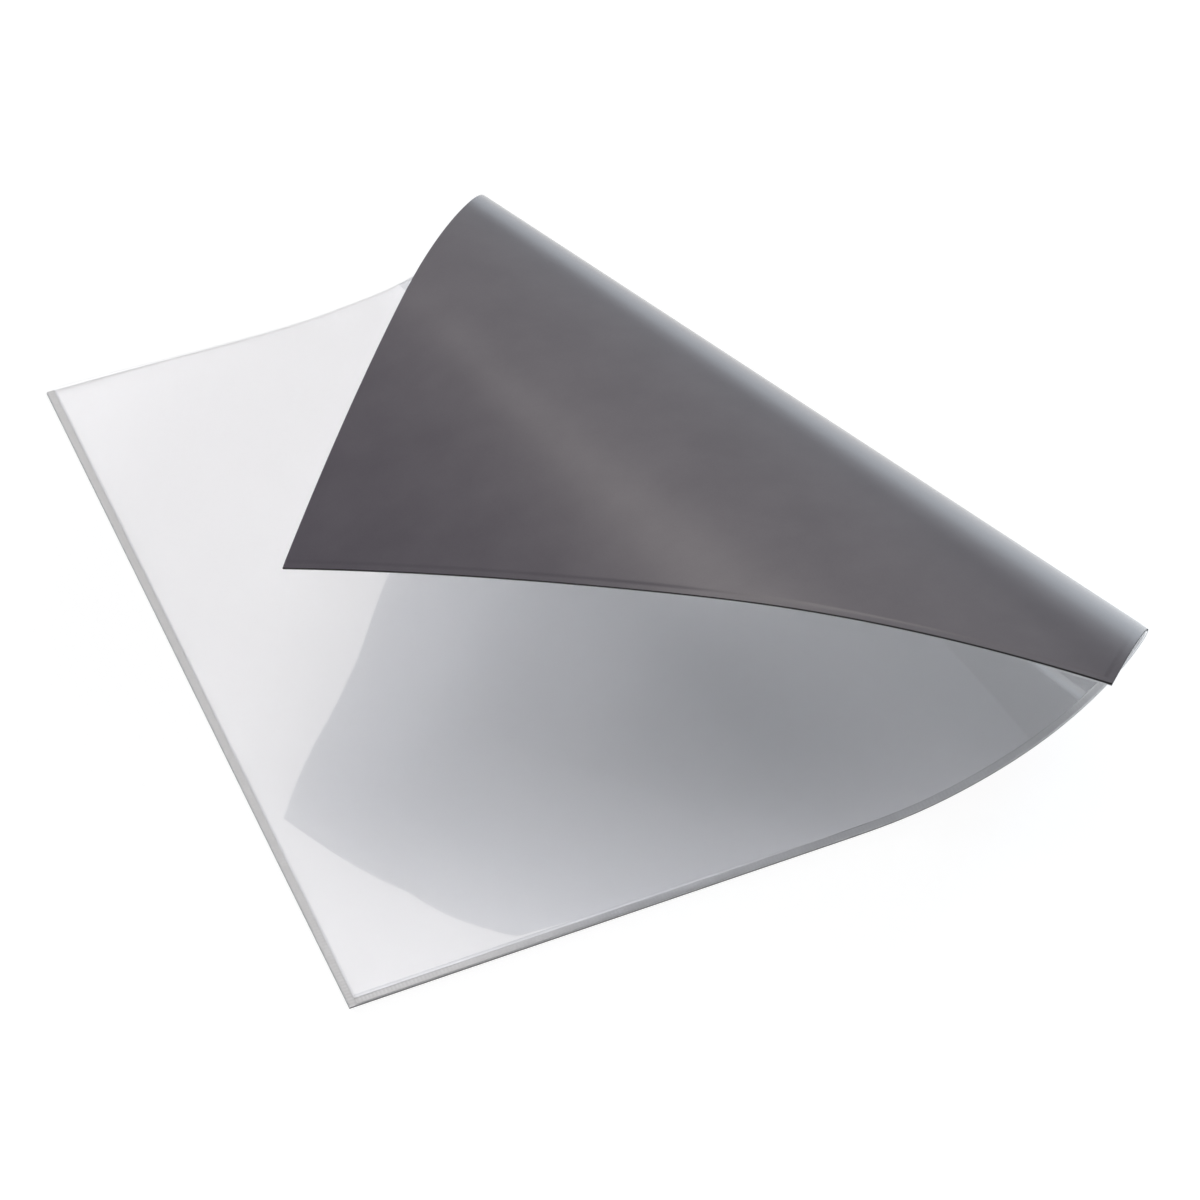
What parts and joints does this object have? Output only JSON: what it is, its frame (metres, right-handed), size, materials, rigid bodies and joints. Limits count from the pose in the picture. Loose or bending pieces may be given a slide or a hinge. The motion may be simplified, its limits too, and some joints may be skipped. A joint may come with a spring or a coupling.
{
  "type": "magnetic document pocket",
  "caption": "Flexible magnetic pocket that shows a document behind a clear film window with ribbed welded seams and an open mouth, lying on its magnet back with its far end curled over.",
  "frame": {"origin": "on the magnet's back face, in the middle of the part of the sheet that lies flat", "axes": "+X along the front seam towards the curled end, +Y across the sheet towards the mouth, +Z out of the front of the flat part"},
  "size_m": [0.2078, 0.2647, 0.1007],
  "materials": {
    "magnet": "satin brown-grey ferrite in a soft binder, calendered and slit",
    "facing": "smooth white vinyl film laminated on the magnet sheet",
    "film": "clear glossy vinyl film",
    "weld": "clear film fused to the white facing under a finely ribbed electrode"
  },
  "bodies": {
    "root": {"magnet_sheet": "magnet", "white_facing": "facing", "window_film": "film", "weld_left": "weld", "weld_front": "weld", "weld_right": "weld"}
  },
  "joints": []
}
